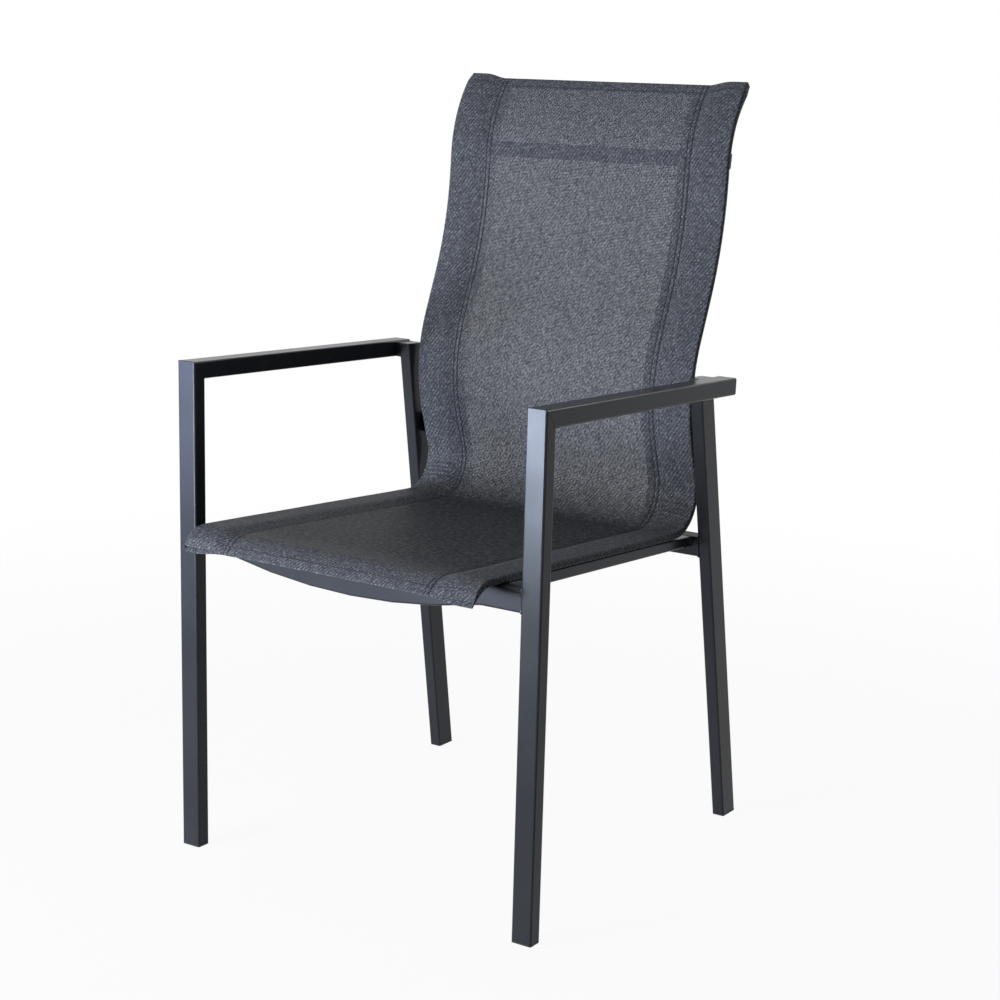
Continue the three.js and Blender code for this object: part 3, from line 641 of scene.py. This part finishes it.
for (distance, layer), (next_distance, next_layer) in zip(rows, rows[1:]):
    step = math.hypot(next_distance - distance, layer_step * (next_layer - layer))
    lengths.append(lengths[-1] + step)
flat_map = mesh.uv_layers.new(name="cloth")
for loop in mesh.loops:
    row, column = divmod(loop.vertex_index, columns)
    flat_map.data[loop.index].uv = (widths[column], lengths[row])
sling = bpy.data.objects.new("sling_cloth", mesh)
bpy.context.scene.collection.objects.link(sling)
bpy.ops.object.select_all(action="DESELECT")
bpy.context.view_layer.objects.active = sling
sling.select_set(True)
thicken = sling.modifiers.new("cloth", "SOLIDIFY")
thicken.thickness = cloth_thickness
thicken.offset = 0
bpy.ops.object.modifier_apply(modifier="cloth")
bpy.ops.object.shade_smooth_by_angle(angle=math.radians(50))

# Weave: a two-and-two twill of dark warp and lighter weft, both of yarns in mixed greys. It is open in
# the back, with small holes where neighbouring yarns meet, and closed in the seat. Shade is painted dark
# into the creases, seam grooves, hem stitching, top fold and sides of the yarns, and over the seat's
# single panel.
warp_pitch, weft_pitch = 0.00140, 0.00198
mesh_cloth, start, shader = new_material("grey_mesh_cloth")
uv = start.node("UVMap", uv_map="cloth")
across_yarns = start.node("SeparateXYZ", {0: uv}) / warp_pitch
along = start.node("SeparateXYZ", {0: uv}, output=1)
along_yarns = along / weft_pitch
warp = start.sum("FLOOR", across_yarns)
weft = start.sum("FLOOR", along_yarns)
off_warp = start.sum("ABSOLUTE", across_yarns - warp - 0.5)
off_weft = start.sum("ABSOLUTE", along_yarns - weft - 0.5)
quarter = math.tau / 4
warp_crest = start.sum("COSINE", (along_yarns - warp - 1) * quarter)
weft_crest = start.sum("COSINE", (across_yarns - weft + 2) * quarter)
warp_height = warp_crest * 0.5 - 2.2 * off_warp * off_warp
weft_height = weft_crest * 0.5 - 2.2 * off_weft * off_weft
weft_on_top = (weft_height - warp_height).between(-0.15, 0.15)
height = start.sum("MAXIMUM", warp_height, weft_height)


def yarn_tone(yarn, along_yarn, stretch, seed):
    """Random tone from 0 to 1 of each short length of a yarn. Neighbours start at random places."""
    start_place = start.node("TexWhiteNoise", {"W": yarn + 31 * seed}, noise_dimensions="1D")
    length = start.sum("FLOOR", along_yarn / stretch + 7 * start_place)
    place = start.node("CombineXYZ", {0: yarn, 1: length, 2: seed})
    return start.node("TexWhiteNoise", {"Vector": place}, noise_dimensions="3D")


warp_tone = yarn_tone(warp, along_yarns, 3.0, 1.0) * yarn_tone(warp, along_yarns, 1.0, 3.0)
weft_tone = yarn_tone(weft, across_yarns, 3.5, 2.0) * yarn_tone(weft, across_yarns, 1.0, 4.0)
warp_colour = warp_tone.blend((0.042, 0.044, 0.051, 1), (0.168, 0.176, 0.198, 1))
weft_colour = weft_tone.blend((0.072, 0.075, 0.084, 1), (0.270, 0.281, 0.309, 1))
yarns = weft_on_top.blend(warp_colour, weft_colour)


def uneven(rates, detail):
    """Noise from 0 to 1 on the cloth, with so many lumps to a metre across and along."""
    place = start.node("VectorMath", {0: uv, 1: (*rates, 1)}, operation="MULTIPLY")
    return start.node("TexNoise", {"Vector": place, "Scale": 1.0, "Detail": detail, "Roughness": 0.6})


# Painted shade of the seam grooves, hem stitching, crease valleys and top fold, read from the mesh
painted_seam_crease_shade_in = start.node("Attribute", output=2, attribute_name="painted_seam_crease_shade")
slubs = uneven((100, 380), detail=2.0)
lumps = uneven((150, 170), detail=1.0)
# Painted shade on the rounded sides of each yarn
yarn_side_shade = 1 - height.between(-0.2, 0.2)
away = start.sum("ABSOLUTE", start.node("SeparateXYZ", {0: start.node("TexCoord", output=3)}))
seat = along.between(0.05, 0.13) * (1 - along.between(0.49, 0.56))
seat_panel = seat * (1 - away.between(0.164, 0.170))
# Painted shade: the seat's single panel is darkened as if it lay in shade, unevenly in lumps
seat_panel_shade = seat_panel * (0.40 + 1.7 * (lumps - 0.5))
# The painted shade, together with the real random tone of the slubs, darkens the yarns' colour
painted_shade_and_slubs = start.sum("MAXIMUM", painted_seam_crease_shade_in * 0.85, seat_panel_shade + 0.75 * (slubs - 0.35) + 0.5 * yarn_side_shade)
painted_shade_and_slubs.blend(yarns, (0.008, 0.008, 0.009, 1)).into(shader.inputs["Base Color"])
(0.60 - 0.08 * weft_on_top).into(shader.inputs["Roughness"])
shader.inputs["Specular IOR Level"].default_value = 0.05
thin = yarn_tone(warp, along_yarns, 2.0, 5.0)
open_weave = along.between(0.49, 0.60) * (1 - 0.25 * along.between(0.95, 1.15))
yarn_edge = 0.5 - (0.055 + 0.105 * thin) * open_weave
holes = (off_warp > yarn_edge) * (off_weft > yarn_edge)
inner_face = start.node("NewGeometry", output="Backfacing")
(1 - start.sum("MAXIMUM", holes, inner_face)).into(shader.inputs["Alpha"])
skin = start.node("Bump", {"Height": height, "Strength": 0.5, "Distance": 0.0002})
skin.into(shader.inputs["Normal"])
sling.data.materials.clear()
sling.data.materials.append(mesh_cloth)
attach(sling, "root")
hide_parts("sling")


# Stitching: two rows of lockstitch along each sleeve, seen on both faces of the cloth, and one row along
# each hem, in thick dark polyester thread.
stitch_pitch, stitch_gap = 0.0038, 0.0006
thread_radius, thread_lift, thread_end = 0.0005, 0.0001, -0.0006
seam_ends, hem_seam = 0.004, 0.425
upper_line = [(x, depth) for x, depth, inward, inside in section if inside > 0.99]


def upper_depth(x):
    """Depth of the middle of the cloth's upper layer at a distance from the middle."""
    for (low, low_depth), (high, high_depth) in zip(upper_line, upper_line[1:]):
        if low <= x <= high:
            return low_depth + (high_depth - low_depth) * (x - low) / (high - low)
    return half_cloth


def stitch(place_at, start_at):
    """One stitch that comes up through the cloth, runs along it and goes down again."""
    end_at = start_at + stitch_pitch - stitch_gap
    steps = (
        (start_at, thread_end),
        (start_at + 0.0003, thread_lift),
        (end_at - 0.0003, thread_lift),
        (end_at, thread_end),
    )
    return [(place_at(along_seam, lift), thread_radius) for along_seam, lift in steps]


stitches = []
for side in (-1, 1):
    for line in seam_lines:
        def on_upper_face(distance, lift):
            return cloth_point(side * line, panel_depth - half_cloth - lift, 0, 1, distance)

        def on_flap(distance, lift):
            return cloth_point(side * line, flap_depth + half_cloth + lift, 0, -1, distance)

        for index in range(int((side_length - 2 * seam_ends) / stitch_pitch)):
            stitches.append(stitch(on_upper_face, seam_ends + index * stitch_pitch))
            stitches.append(stitch(on_flap, seam_ends + index * stitch_pitch))
for distance in (hem_stitch, side_length - hem_stitch):
    def on_hem(x, lift):
        return cloth_point(x, upper_depth(x) - half_cloth - lift, 0, 1, distance)

    for index in range(int(hem_seam / stitch_pitch)):
        stitches.append(stitch(on_hem, index * stitch_pitch - hem_seam / 2))
thread, start, shader = new_material("dark_polyester_thread")
twist = near(start, 3200, detail=1.0)
twist.blend((0.010, 0.010, 0.012, 1), (0.030, 0.031, 0.036, 1)).into(shader.inputs["Base Color"])
(0.5 + 0.2 * twist).into(shader.inputs["Roughness"])
shader.inputs["Specular IOR Level"].default_value = 0.2
skin = start.node("Bump", {"Height": twist, "Strength": 0.4, "Distance": 0.0001})
skin.into(shader.inputs["Normal"])
stitching = round_cord("sling_stitching", stitches, sides=1)
finish_piece(stitching, thread)
